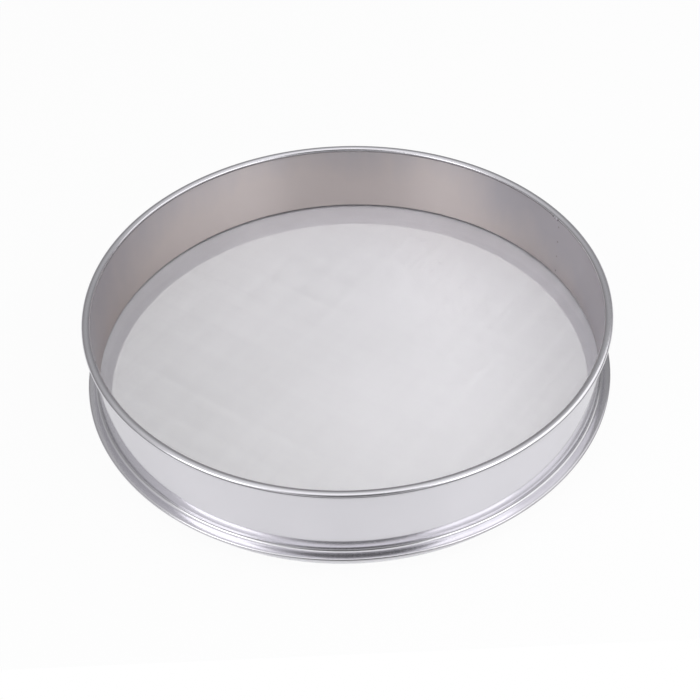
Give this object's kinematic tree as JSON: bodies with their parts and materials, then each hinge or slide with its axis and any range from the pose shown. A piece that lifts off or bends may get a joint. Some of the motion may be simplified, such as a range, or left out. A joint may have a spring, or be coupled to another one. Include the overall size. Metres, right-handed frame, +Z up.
{
  "type": "tamis drum sieve",
  "caption": "Round steel drum sieve with a wired rim, a fine woven wire screen near its foot, a folded hem that clamps the screen and a lipped base ring to stand on.",
  "frame": {"origin": "centre of the sieve on the surface it stands on, in the plane of the base lip's underside", "axes": "+Z up along the drum's axis through the open top; the sieve is round, so +X and +Y are any two square directions"},
  "size_m": [0.306, 0.306, 0.0579],
  "materials": {
    "drum_steel": "polished stainless sheet with fine rolling marks",
    "wire_steel": "drawn stainless wire",
    "screen_steel": "woven stainless wire cloth",
    "base_steel": "polished stainless sheet with forming marks"
  },
  "bodies": {
    "root": {"drum_hoop": "drum_steel", "rim_wire": "wire_steel", "mesh_screen": "screen_steel", "base_ring": "base_steel"}
  },
  "joints": []
}
